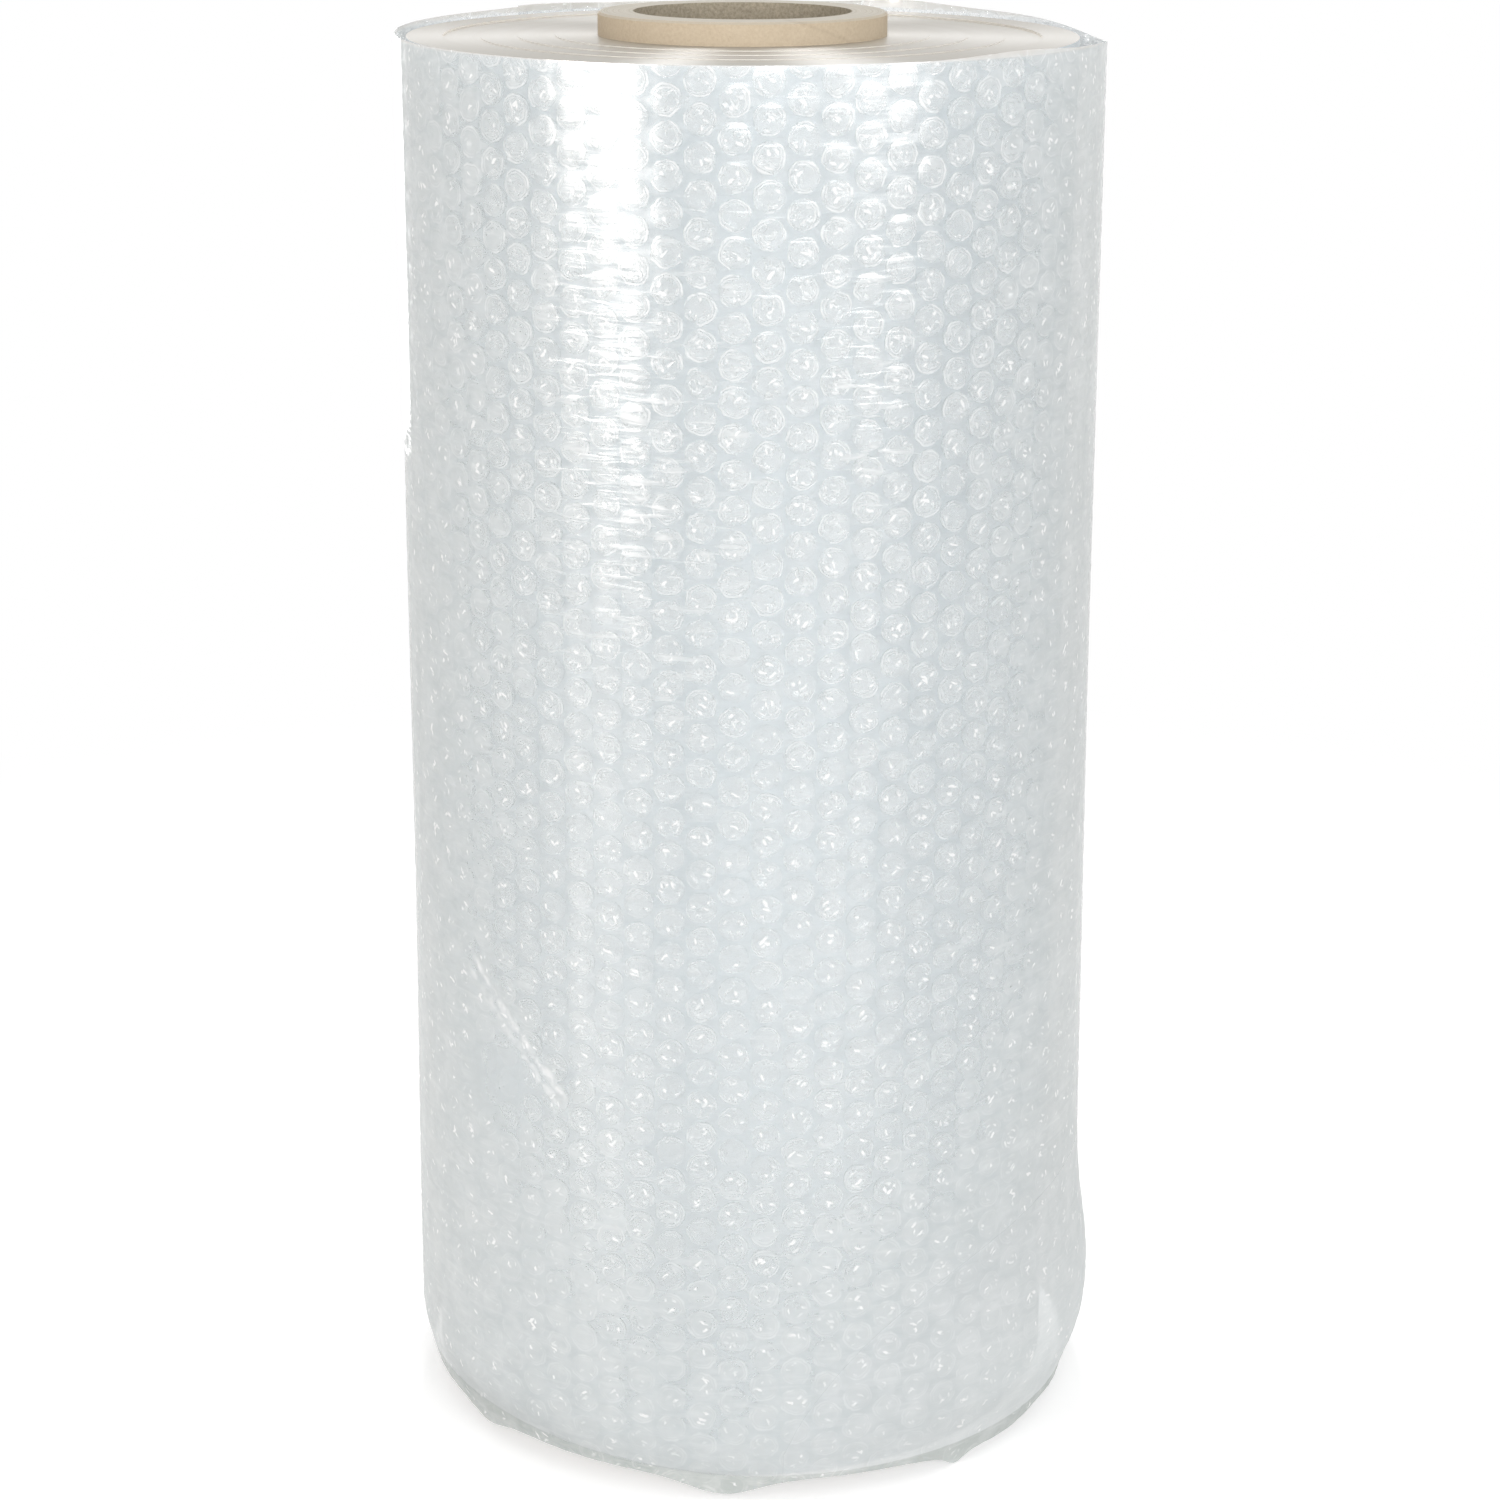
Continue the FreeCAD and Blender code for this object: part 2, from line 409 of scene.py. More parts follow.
def make_bubbles(name, centres, seed):
    """The formed film: a flat-capped dome on the sheet's inner side for each centre."""
    edge_gap = 0.0004
    x, y, depth = dome_shapes(np.random.RandomState(seed), centres)
    column = centres[:, :1] + x * bubble_radius / column_pitch
    height = centres[:, 1:] + y * bubble_radius
    degrees = sheet_angle(column)
    height = np.clip(height, hem_height(degrees) + edge_gap, top_edge_height(degrees) - edge_gap)
    radius = sheet_radius(column, height) - sheet_skin - depth * bubble_height
    uv = np.stack([column * column_pitch, height], axis=-1)
    blocks, capped = dome_faces(len(centres))
    return make_piece(name, place(radius, degrees, height), blocks, uv, capped)


def make_tape(index):
    """One strip of tape: it bridges the puckers of the sheet, and drops over the lap's free edge."""
    across = 24
    along = 90
    edge_angle = sheet_angle(total_columns)
    half_angle = math.degrees(tape_length / 2 / sleeve_outer)
    span = film_top - film_bottom - 2 * tape_margin - tape_width
    bottom = film_bottom + tape_margin + span * index / (tape_count - 1)
    degrees = edge_angle + np.linspace(-half_angle, half_angle, along + 1)[None, :]
    height = bottom + np.linspace(0, tape_width, across + 1)[:, None]
    degrees, height = np.broadcast_arrays(degrees, height)
    drop = smooth_step(edge_angle + tape_drop_start, edge_angle + tape_drop_end, degrees)
    lift = lap_lift * (1 - drop)
    around = np.radians(degrees) * sleeve_outer
    bend = slow_bend(degrees - 360 * (degrees > edge_angle), height)
    waver = waves(around, height, seed=40 + index, count=6, wave_along=0.050, wave_height=0.018,
                  size=0.00008)
    radius = sleeve_outer + lift + flare(degrees, height) + bend + tape_offset + waver
    uv = np.stack([around, height], axis=-1)
    faces = [grid_faces(across + 1, along + 1)]
    return make_piece("closing_tape_" + str(index + 1), place(radius, degrees, height), faces, uv)


# ---------------------------------------------------------------- shader nodes

def add_node(tree, kind, inputs=None, **settings):
    """Adds a shader node. inputs gives a plain value or another node's output for each named socket."""
    made = tree.nodes.new(kind)
    for name, value in settings.items():
        setattr(made, name, value)
    for key, value in (inputs or {}).items():
        if isinstance(value, bpy.types.NodeSocket):
            tree.links.new(value, made.inputs[key])
        else:
            made.inputs[key].default_value = value
    return made


def start_material(name):
    material = bpy.data.materials.new(name)
    material.use_nodes = True
    material.node_tree.nodes.clear()
    return material, material.node_tree


def finish_material(tree, shader):
    add_node(tree, "ShaderNodeOutputMaterial", {"Surface": shader.outputs[0]})


def maths(tree, operation, *values):
    return add_node(tree, "ShaderNodeMath", dict(enumerate(values)), operation=operation).outputs[0]


def times(tree, first, *others):
    for other in others:
        first = maths(tree, "MULTIPLY", first, other)
    return first


def highest(tree, first, *others):
    for other in others:
        first = maths(tree, "MAXIMUM", first, other)
    return first


def plus(tree, first, second):
    return maths(tree, "ADD", first, second)


def minus(tree, first, second):
    return maths(tree, "SUBTRACT", first, second)


def size_of(tree, value):
    return maths(tree, "ABSOLUTE", value)


def hypotenuse(tree, across, down):
    return maths(tree, "SQRT", plus(tree, times(tree, across, across), times(tree, down, down)))


def spread(tree, value, from_low, from_high, to_low=0.0, to_high=1.0):
    """Carries one range over to another in a straight line, and holds at both ends."""
    return add_node(tree, "ShaderNodeMapRange", {
        "Value": value, "From Min": from_low, "From Max": from_high, "To Min": to_low, "To Max": to_high,
    }).outputs["Result"]


def between(tree, share, low, high):
    """Value that goes from low, at a share of 0, to high, at a share of 1."""
    return spread(tree, share, 0.0, 1.0, low, high)


def ease(tree, value, low, high):
    """Goes from 0 to 1 between two values, gently at both ends."""
    return add_node(tree, "ShaderNodeMapRange", {
        "Value": value, "From Min": low, "From Max": high, "To Min": 0.0, "To Max": 1.0,
    }, interpolation_type="SMOOTHSTEP").outputs["Result"]


def separate(tree, vector):
    return add_node(tree, "ShaderNodeSeparateXYZ", {0: vector}).outputs


def stretched(tree, sheet, across, down):
    """The sheet's coordinates, scaled across and down."""
    return add_node(tree, "ShaderNodeMapping", {"Vector": sheet, "Scale": (across, down, 1.0)}).outputs[0]


def noise(tree, vector, scale, detail=2.0, roughness=0.5, distortion=0.0):
    return add_node(tree, "ShaderNodeTexNoise", {
        "Vector": vector, "Scale": scale, "Detail": detail, "Roughness": roughness,
        "Distortion": distortion}).outputs["Fac"]


def line_noise(tree, value, scale, detail):
    """Noise along one number, such as a radius."""
    return add_node(tree, "ShaderNodeTexNoise", {"W": value, "Scale": scale, "Detail": detail},
                    noise_dimensions="1D").outputs["Fac"]


def facing(tree):
    """0 where the surface is seen face on, and 1 where it is seen edge on."""
    return add_node(tree, "ShaderNodeLayerWeight", {"Blend": 0.5}).outputs["Facing"]


def bump(tree, height, distance, strength=1.0):
    return add_node(tree, "ShaderNodeBump", {
        "Height": height, "Distance": distance, "Strength": strength}).outputs[0]


def blend_colours(tree, share, first, second):
    made = add_node(tree, "ShaderNodeMix", data_type="RGBA")
    for socket, value in ((0, share), (6, first), (7, second)):
        if isinstance(value, bpy.types.NodeSocket):
            tree.links.new(value, made.inputs[socket])
        elif isinstance(value, tuple):
            made.inputs[socket].default_value = (*value, 1.0)
        else:
            made.inputs[socket].default_value = value
    return made.outputs[2]


def srgb(red, green, blue):
    """Linear colour from display values out of 255."""
    def linear(value):
        value = value / 255
        return value / 12.92 if value <= 0.04045 else ((value + 0.055) / 1.055) ** 2.4
    return (linear(red), linear(green), linear(blue))


# ---------------------------------------------------------------- materials

board_dark = srgb(196, 179, 154)
board_pale = srgb(214, 200, 178)
board_cloud = srgb(202, 187, 164)
board_seam = srgb(140, 116, 90)
ply_dark = srgb(201, 193, 178)
ply_pale = srgb(217, 211, 199)
bore_dark = srgb(150, 140, 122)
bore_pale = srgb(196, 186, 166)
end_inner = srgb(193, 185, 170)
end_outer = srgb(198, 191, 178)
end_ring = srgb(222, 218, 210)
# Lighter colour of the upright steps between the end's bands: painted light that cancels their shade.
end_step_painted_light = srgb(248, 244, 236)
side_dark = srgb(221, 231, 236)
side_pale = srgb(229, 237, 241)
# Grey-green of film seen edge on: partly more film to look through, partly painted shade at the roll's
# sides.
film_edge_on_shaded = srgb(188, 196, 195)
film_misty = srgb(208, 216, 217)
# Dark grey-green of the hem band: the doubled film, darkened with painted shade of the gap under the roll.
film_hem_shaded = srgb(146, 158, 153)
film_rim = srgb(222, 219, 212)
# White of the film's marks, and of its painted highlights and glints.
film_mark_and_highlight = srgb(250, 251, 251)
film_flat = srgb(206, 217, 221)
film_pillow = srgb(228, 233, 234)
wall_tint = srgb(240, 243, 243)
cap_tint = srgb(240, 244, 245)
tape_tint = srgb(226, 225, 214)
floor_grey = srgb(210, 210, 210)

# Film reflects at both faces, and here it is one surface, so its IOR is above the plastic's own, which the
# ends of the film roll have.
film_ior = 2.4
end_ior = 1.58

# The core's spiral seam climbs this much in a turn.
seam_climb = 0.11

# Round each bubble's centre: the weld's ring and a fainter ring inside it, on which highlights are painted,
# and the foot of the pale disc.
weld_ring = 0.0050
inner_ring = 0.0040
disc_foot = 0.0056

# Heights between which the sleeve's look changes. Going down, its bubbles are pressed flat, its ripples and
# the painted highlights of its weld rings and strokes fade, and its haze and its bulge's haze grow. Near its
# upper edge its ripples fade too.
pressed_zone = (0.10, 0.40)
ring_zone = (0.24, 0.45)
stroke_zone = (0.04, 0.26)
ripple_zone = (0.08, 0.38)
haze_zone = (0.02, 0.20)
bulge_zone = (0.03, 0.14)
smooth_zone = (0.440, 0.475)

# The hem's doubled band, which is darkened with painted shade: its height above the film's lower end, and
# what the tight side adds.
hem_band = 0.0022
hem_band_tight = 0.0075

# The crease's second stroke lies this far to its side.
second_stroke = 0.0038


def position_parts(tree):
    """The point, its radius about the core's axis, its angle and its height."""
    point = add_node(tree, "ShaderNodeTexCoord").outputs["Object"]
    parts = separate(tree, point)
    return point, hypotenuse(tree, parts[0], parts[1]), maths(tree, "ARCTAN2", parts[1], parts[0]), parts[2]


def levelness(tree):
    """1 on a level surface, and 0 on an upright one."""
    normal = add_node(tree, "ShaderNodeNewGeometry").outputs["Normal"]
    return size_of(tree, separate(tree, normal)[2])


def core_material():
    """Wound paper board: fibres and flecks, ply rings on the ends, spiral seams outside, a greyer bore."""
    material, tree = start_material("core_board")
    point, radius, angle, height = position_parts(tree)
    fibre = noise(tree, point, 900.0, 4.0, 0.7)
    cloud = noise(tree, point, 60.0, 3.0, 0.6)
    plies = line_noise(tree, radius, 1400.0, 1.0)
    fibres = spread(tree, fibre, 0.3, 0.7)
    colour = blend_colours(tree, fibres, board_dark, board_pale)
    colour = blend_colours(tree, spread(tree, cloud, 0.35, 0.65, 0.0, 0.35), colour, board_cloud)
    end_colour = blend_colours(tree, spread(tree, plies, 0.35, 0.65), ply_dark, ply_pale)
    on_end = spread(tree, levelness(tree), 0.5, 0.9)
    colour = blend_colours(tree, on_end, colour, end_colour)
    in_bore = spread(tree, radius, bore_radius + 0.0004, bore_radius + 0.0001)
    colour = blend_colours(tree, in_bore, colour, blend_colours(tree, fibres, bore_dark, bore_pale))
    turn = maths(tree, "DIVIDE", angle, 2 * math.pi)
    helix = maths(tree, "FRACT", plus(tree, times(tree, height, 1 / seam_climb), turn))
    seam = spread(tree, size_of(tree, minus(tree, helix, 0.5)), 0.0, 0.010, 0.14, 0.0)
    colour = blend_colours(tree, seam, colour, board_seam)
    grain = plus(tree, fibre, times(tree, plies, on_end))
    shader = add_node(tree, "ShaderNodeBsdfPrincipled", {
        "Base Color": colour, "Roughness": spread(tree, fibre, 0.2, 0.8, 0.72, 0.9),
        "Normal": bump(tree, grain, 0.0002)})
    finish_material(tree, shader)
    return material


def film_roll_material():
    """Wound clear film: a bluish glossy side, and warm grey ends with the fine rings of its turns."""
    material, tree = start_material("stretch_film")
    _, radius, angle, height = position_parts(tree)
    level = spread(tree, levelness(tree), 0.6, 0.8)
    within = spread(tree, radius, film_radius - 0.0010, film_radius - 0.0014)
    on_end = highest(tree, level, within)
    tangent = add_node(tree, "ShaderNodeTangent", direction_type="RADIAL", axis="Z").outputs[0]

    fine = line_noise(tree, radius, 2600.0, 3.0)
    broad = line_noise(tree, radius, 180.0, 3.0)
    outward = spread(tree, radius, core_radius, core_radius + 0.03)
    end_colour = blend_colours(tree, outward, end_inner, end_outer)
    rings = plus(tree, times(tree, fine, 0.5), times(tree, broad, 0.5))
    end_colour = blend_colours(tree, spread(tree, rings, 0.35, 0.65, 0.0, 0.14), end_colour, end_ring)
    # Painted light: the upright steps between the bands are made lighter so that their shade doesn't show.
    end_colour = blend_colours(tree, level, end_step_painted_light, end_colour)
    end = add_node(tree, "ShaderNodeBsdfPrincipled", {
        "Base Color": end_colour, "Roughness": 0.25, "IOR": end_ior,
        "Anisotropic": 0.98, "Anisotropic Rotation": 0.25, "Tangent": tangent})

    around = add_node(tree, "ShaderNodeCombineXYZ", {
        0: times(tree, angle, 2.0), 1: 0.0, 2: times(tree, height, 40.0)}).outputs[0]
    streaks = noise(tree, around, 4.0, 2.0, 0.6)
    side_colour = blend_colours(tree, spread(tree, streaks, 0.3, 0.7), side_dark, side_pale)
    side = add_node(tree, "ShaderNodeBsdfPrincipled", {
        "Base Color": side_colour, "Roughness": spread(tree, streaks, 0.3, 0.7, 0.48, 0.60),
        "IOR": film_ior, "Specular IOR Level": 0.9,
        "Anisotropic": 0.95, "Anisotropic Rotation": 0.25, "Tangent": tangent,
        "Normal": bump(tree, streaks, 0.0006)})
    shader = add_node(tree, "ShaderNodeMixShader", {0: on_end, 1: side.outputs[0], 2: end.outputs[0]})
    finish_material(tree, shader)
    return material


def sheet_parts(tree):
    """The sheet's own flat coordinates, in metres, and their two numbers."""
    sheet = add_node(tree, "ShaderNodeUVMap", uv_map="sheet").outputs[0]
    parts = separate(tree, sheet)
    return sheet, parts[0], parts[1]


def along_sheet(degrees):
    """Place along the sheet, in metres, of an angle on the part of the sheet that shows."""
    return float(sheet_column(degrees)) * column_pitch


def bubble_distance(tree, along, height):
    """Distance from each point of the sheet to the centre of its bubble."""
    column = maths(tree, "DIVIDE", along, column_pitch)
    across = times(tree, minus(tree, maths(tree, "FRACT", column), 0.5), column_pitch)
    odd = maths(tree, "MODULO", maths(tree, "FLOOR", column), 2.0)
    row = maths(tree, "DIVIDE", minus(tree, first_row, height), row_pitch)
    row = minus(tree, row, times(tree, odd, 0.5))
    down = times(tree, minus(tree, row, maths(tree, "ROUND", row)), row_pitch)
    return hypotenuse(tree, across, down)


def ridges(tree, sheet, scale, distortion):
    """Distance from the lines of a web of random creases: 0 on a line, and about 0.5 between them."""
    lines = noise(tree, sheet, scale, 1.0, 0.5, distortion)
    return size_of(tree, minus(tree, times(tree, lines, 2.0), 1.0))


def slackness(tree, along):
    """How far a place on the sheet faces the slack side: 1 there, and -1 on the tight side."""
    per_metre = math.radians(column_angle) / column_pitch
    return maths(tree, "COSINE", maths(tree, "MULTIPLY_ADD", along, per_metre, math.radians(lap_angle)))


def border(tree, along, height):
    """1 in the band where the hem is doubled, crumpled and painted with shade, and above the roll's upper
    end.
    """
    tight = highest(tree, times(tree, slackness(tree, along), -1.0), 0.0)
    hem_top = maths(tree, "MULTIPLY_ADD", tight, hem_band_tight, film_bottom + hem_band)
    below = spread(tree, minus(tree, hem_top, height), -0.0004, 0.0004)
    above = spread(tree, height, film_top - 0.0002, film_top + 0.0006)
    return below, above


def ground_haze(tree, along, height):
    """Added cover of the crumpled film near the ground, most of all where the slack sleeve stands out."""
    slack = highest(tree, slackness(tree, along), 0.0)
    all_round = spread(tree, height, *haze_zone, 0.24, 0.0)
    bulging = spread(tree, height, *bulge_zone, 0.42, 0.0)
    return plus(tree, all_round, times(tree, bulging, slack))


def film_shader(tree, marks, normal, along, height, clear, marked, edge_on, roughness, tint, veil):
    """Clear film: clear and marked are how much it hides face on, off its white marks and painted highlights
    and on them.

    edge_on is how much it hides edge on, and veil how strongly the haze, the hem's painted shade and the rim
    show in it.
    """
    below, above = border(tree, along, height)
    steep = maths(tree, "POWER", facing(tree), 1.4)
    misty = times(tree, ground_haze(tree, along, height), veil)
    face_on = between(tree, marks, plus(tree, misty, clear), marked)
    alpha = between(tree, steep, face_on, edge_on)
    alpha = highest(tree, alpha, highest(tree, times(tree, below, veil), times(tree, above, 0.8 * veil)))
    # Darker where the film is seen edge on: more film to look through, and painted shade at the roll's
    # sides.
    colour = blend_colours(tree, steep, tint, film_edge_on_shaded)
    colour = blend_colours(tree, misty, colour, film_misty)
    # The hem band: painted shade over the doubled film.
    colour = blend_colours(tree, below, colour, film_hem_shaded)
    colour = blend_colours(tree, above, colour, film_rim)
    # White marks, and painted highlights among them.
    colour = blend_colours(tree, marks, colour, film_mark_and_highlight)
    return add_node(tree, "ShaderNodeBsdfPrincipled", {
        "Base Color": colour, "Roughness": spread(tree, misty, 0.0, 0.5, roughness, roughness + 0.3),
        "IOR": film_ior, "Specular IOR Level": 1.0, "Alpha": alpha, "Normal": normal})


def crease_parts(tree, along, height):
    """Distance beyond the diagonal crease's two ends, and signed distance to its side, in the sheet."""
    first_along = along_sheet(crease_start[0])
    run_along = along_sheet(crease_end[0]) - first_along
    run_height = crease_end[1] - crease_start[1]
    length = math.hypot(run_along, run_height)
    run_along = run_along / length
    run_height = run_height / length
    across = minus(tree, along, first_along)
    down = minus(tree, height, crease_start[1])
    onward = plus(tree, times(tree, across, run_along), times(tree, down, run_height))
    aside = minus(tree, times(tree, across, -run_height), times(tree, down, -run_along))
    past = highest(tree, minus(tree, onward, length), times(tree, onward, -1.0), 0.0)
    return past, aside


def crease_strokes(tree, sheet, along, height):
    """The pale strokes of the diagonal crease: one on its line, and a fainter one beside it."""
    past, aside = crease_parts(tree, along, height)
    aside = plus(tree, aside, spread(tree, noise(tree, sheet, 130.0), 0.3, 0.7, -0.0012, 0.0012))
    first = spread(tree, size_of(tree, aside), 0.0003, 0.0026, 0.80, 0.0)
    second = spread(tree, size_of(tree, plus(tree, aside, second_stroke)), 0.0002, 0.0028, 0.6, 0.0)
    broken = spread(tree, noise(tree, sheet, 210.0), 0.34, 0.56, 0.25, 1.0)
    within = spread(tree, past, 0.0, 0.006, 1.0, 0.0)
    return times(tree, highest(tree, first, second), broken, within)


def uncrushed(tree, along, height):
    """0 in the smooth patch where the bubbles are crushed, and 1 away from it."""
    across = minus(tree, along, along_sheet(crushed_place[0]))
    away = hypotenuse(tree, across, minus(tree, height, crushed_place[1]))
    return spread(tree, away, 0.55 * crushed_radius, 1.05 * crushed_radius)


def pull_mask(tree, along, height):
    """How much the film is pulled into level wrinkles, from 0 to 1. It also strengthens their painted
    highlights.
    """
    most = 0.0
    for degrees, level, half_turn, half_rise in pulled_places:
        half_width = half_turn / column_angle * column_pitch
        across = times(tree, minus(tree, along, along_sheet(degrees)), 1 / half_width)
        up = times(tree, minus(tree, height, level), 1 / half_rise)
        most = highest(tree, most, spread(tree, hypotenuse(tree, across, up), 0.3, 1.8, 1.0, 0.0))
    return most


def high_up(tree, height, least):
    """Falls from 1 in the sleeve's upper part to least near the ground, where it is pressed flat."""
    return spread(tree, height, *pressed_zone, least, 1.0)


def glints(tree, sheet, turn, across, down, size, kept):
    """Painted glints, short bright strokes of crumpled film: kept is the share of places that have one."""
    turned = add_node(tree, "ShaderNodeVectorRotate", {"Vector": sheet, "Angle": math.radians(turn)},
                      rotation_type="Z_AXIS").outputs[0]
    warp = times(tree, noise(tree, sheet, 420.0, 1.0), 0.7)
    bent = add_node(tree, "ShaderNodeVectorMath", {0: stretched(tree, turned, across, down), 1: warp},
                    operation="ADD").outputs[0]
    cells = add_node(tree, "ShaderNodeTexVoronoi", {"Vector": bent, "Scale": 1.0}, voronoi_dimensions="2D")
    stroke = spread(tree, cells.outputs["Distance"], size * 0.3, size, 1.0, 0.0)
    chance = separate(tree, cells.outputs["Color"])[0]
    return times(tree, stroke, maths(tree, "POWER", spread(tree, chance, 1.0 - kept, 1.0), 1.6))


def weld_ring_highlights(tree, sheet, edge, upper, aslant):
    """Broken pale rings of painted highlight where each bubble is welded down: one at its foot, a fainter
    one inside it.
    """
    outer = spread(tree, size_of(tree, minus(tree, edge, weld_ring)), 0.0002, 0.0006, 1.0, 0.0)
    inner = spread(tree, size_of(tree, minus(tree, edge, inner_ring)), 0.0001, 0.0005, 0.6, 0.0)
    patchy = spread(tree, noise(tree, sheet, 170.0), 0.42, 0.58, 0.15, 1.0)
    ring = times(tree, highest(tree, outer, inner), times(tree, patchy, upper))
    return times(tree, ring, spread(tree, aslant, 0.15, 0.75, 1.0, 0.25))


def pillows(tree, edge, whole, aslant, height):
    """1 on each bubble's disc and 0 between them, and nearer a half at the sides and low down."""
    disc = times(tree, spread(tree, edge, inner_ring, disc_foot, 1.0, 0.0), whole)
    disc = between(tree, spread(tree, aslant, 0.10, 0.60, 1.0, 0.35), 0.5, disc)
    return between(tree, high_up(tree, height, 0.40), 0.5, disc)


def soft_marks_and_highlights(tree, sheet, apart, ring, lines, upper, pull):
    """The soft white of the flat film: painted highlights of rings, level wisps and bridges between bubbles,
    and clouds.
    """
    # Painted highlights: pale level wisps, strongest where the film is pulled, and bridges between bubbles.
    wisps = times(tree, spread(tree, lines, 0.52, 0.72), between(tree, pull, 0.32, 1.3))
    bridges = noise(tree, stretched(tree, sheet, 90.0, 200.0), 1.0, 2.0, 0.5, 0.3)
    bridges = times(tree, spread(tree, bridges, 0.48, 0.62, 0.0, 0.4),
                    spread(tree, apart, 0.0046, disc_foot, 0.25, 1.0), between(tree, upper, 0.15, 1.0))
    cloud = spread(tree, noise(tree, sheet, 70.0, 3.0, 0.6), 0.40, 0.70, 0.0, 0.22)
    return plus(tree, times(tree, highest(tree, times(tree, ring, 1.2), wisps, bridges), 0.55), cloud)


def painted_glint_strokes(tree, sheet, apart, height):
    """Painted glints: bright strokes in three directions, mostly on the bubbles and fewer near the ground.
    """
    strokes = highest(
        tree,
        glints(tree, sheet, turn=28.0, across=170.0, down=420.0, size=0.31, kept=0.54),
        glints(tree, sheet, turn=-35.0, across=160.0, down=380.0, size=0.30, kept=0.48),
        glints(tree, sheet, turn=80.0, across=190.0, down=400.0, size=0.29, kept=0.44))
    return times(tree, strokes, spread(tree, apart, 0.0024, 0.0046, 1.7, 0.10),
                 spread(tree, height, *stroke_zone, 0.8, 1.0))


def skin_material():
    """Flat film: weld rings and paler discs of the bubbles, tension lines, bright strokes and a crease;
    painted highlights lie on the rings and tension lines and make up the strokes.
    """
    material, tree = start_material("bubble_film_flat")
    sheet, along, height = sheet_parts(tree)
    apart = bubble_distance(tree, along, height)
    upper = spread(tree, height, *ring_zone, 0.42, 1.0)
    whole = uncrushed(tree, along, height)
    pull = pull_mask(tree, along, height)
    aslant = facing(tree)
    edge = plus(tree, apart, spread(tree, noise(tree, sheet, 260.0, 1.0), 0.3, 0.7, -0.0004, 0.0004))
    lines = noise(tree, stretched(tree, sheet, 62.0, 400.0), 1.0, 2.0, 0.5, 0.5)

    ring = weld_ring_highlights(tree, sheet, edge, upper, aslant)
    soft = soft_marks_and_highlights(tree, sheet, apart, ring, lines, upper, pull)
    marks = highest(tree, soft, painted_glint_strokes(tree, sheet, apart, height))
    marks = times(tree, marks, between(tree, whole, 0.15, 1.0))
    marks = highest(tree, marks, crease_strokes(tree, sheet, along, height))

    near_top = spread(tree, height, *smooth_zone, 1.0, 0.35)
    low_down = spread(tree, height, *ripple_zone, 0.35, 0.75)
    uneven = times(tree, whole, between(tree, pull, 0.5, 1.0), near_top, low_down)
    pillow = pillows(tree, edge, whole, aslant, height)
    shader = film_shader(
        tree, marks, bump(tree, lines, 0.0004, uneven), along, height,
        clear=between(tree, pillow, 0.20, 0.28), marked=0.85, edge_on=0.95, roughness=0.12,
        tint=blend_colours(tree, pillow, film_flat, film_pillow), veil=0.9)
    finish_material(tree, shader)
    return material


def bubble_material(name, clear, marked, edge_on, roughness, crinkle, tint):
    """Formed film: crumpled, with painted highlights along its creases, and pressed flatter towards the
    ground.
    """
    material, tree = start_material(name)
    sheet, along, height = sheet_parts(tree)
    web = ridges(tree, sheet, 200.0, 1.6)
    firm = times(tree, high_up(tree, height, 0.15), uncrushed(tree, along, height))
    broken = spread(tree, noise(tree, sheet, 190.0, 1.0), 0.48, 0.58)
    # The creases are whiter and less clear: painted highlights of crumpled film.
    creases = times(tree, spread(tree, web, 0.07, 0.20, 1.0, 0.0), broken, firm)
    alpha = between(tree, facing(tree), between(tree, creases, clear, marked), edge_on)
    alpha = times(tree, alpha, spread(tree, height, film_top - 0.0004, film_top + 0.0004, 1.0, 0.3))
    shader = add_node(tree, "ShaderNodeBsdfPrincipled", {
        "Base Color": (*tint, 1.0), "Roughness": roughness, "IOR": film_ior, "Specular IOR Level": 1.0,
        "Alpha": alpha, "Normal": bump(tree, web, crinkle, firm)})
    finish_material(tree, shader)
    return material


def tape_material():
    """Clear tape: a trace of yellow, with faint lines along it where it was drawn off its roll."""
    material, tree = start_material("clear_tape")
    sheet, along, height = sheet_parts(tree)
    lines = noise(tree, stretched(tree, sheet, 30.0, 900.0), 1.0)
    cloudy = spread(tree, noise(tree, sheet, 120.0, 3.0, 0.6), 0.5, 0.7, 0.0, 0.6)
    marks = highest(tree, spread(tree, lines, 0.6, 0.75, 0.0, 0.4), cloudy)
    shader = film_shader(
        tree, marks, bump(tree, lines, 0.00008), along, height,
        clear=0.22, marked=0.42, edge_on=0.75, roughness=0.12, tint=tape_tint, veil=0.3)
    finish_material(tree, shader)
    return material


# ---------------------------------------------------------------- the stage

def seen_by_eye(tree):
    """1 for rays that show the background: from the camera, in reflections and through glass."""
    path = add_node(tree, "ShaderNodeLightPath").outputs
    return highest(tree, path["Is Camera Ray"], path["Is Glossy Ray"], path["Is Transmission Ray"])


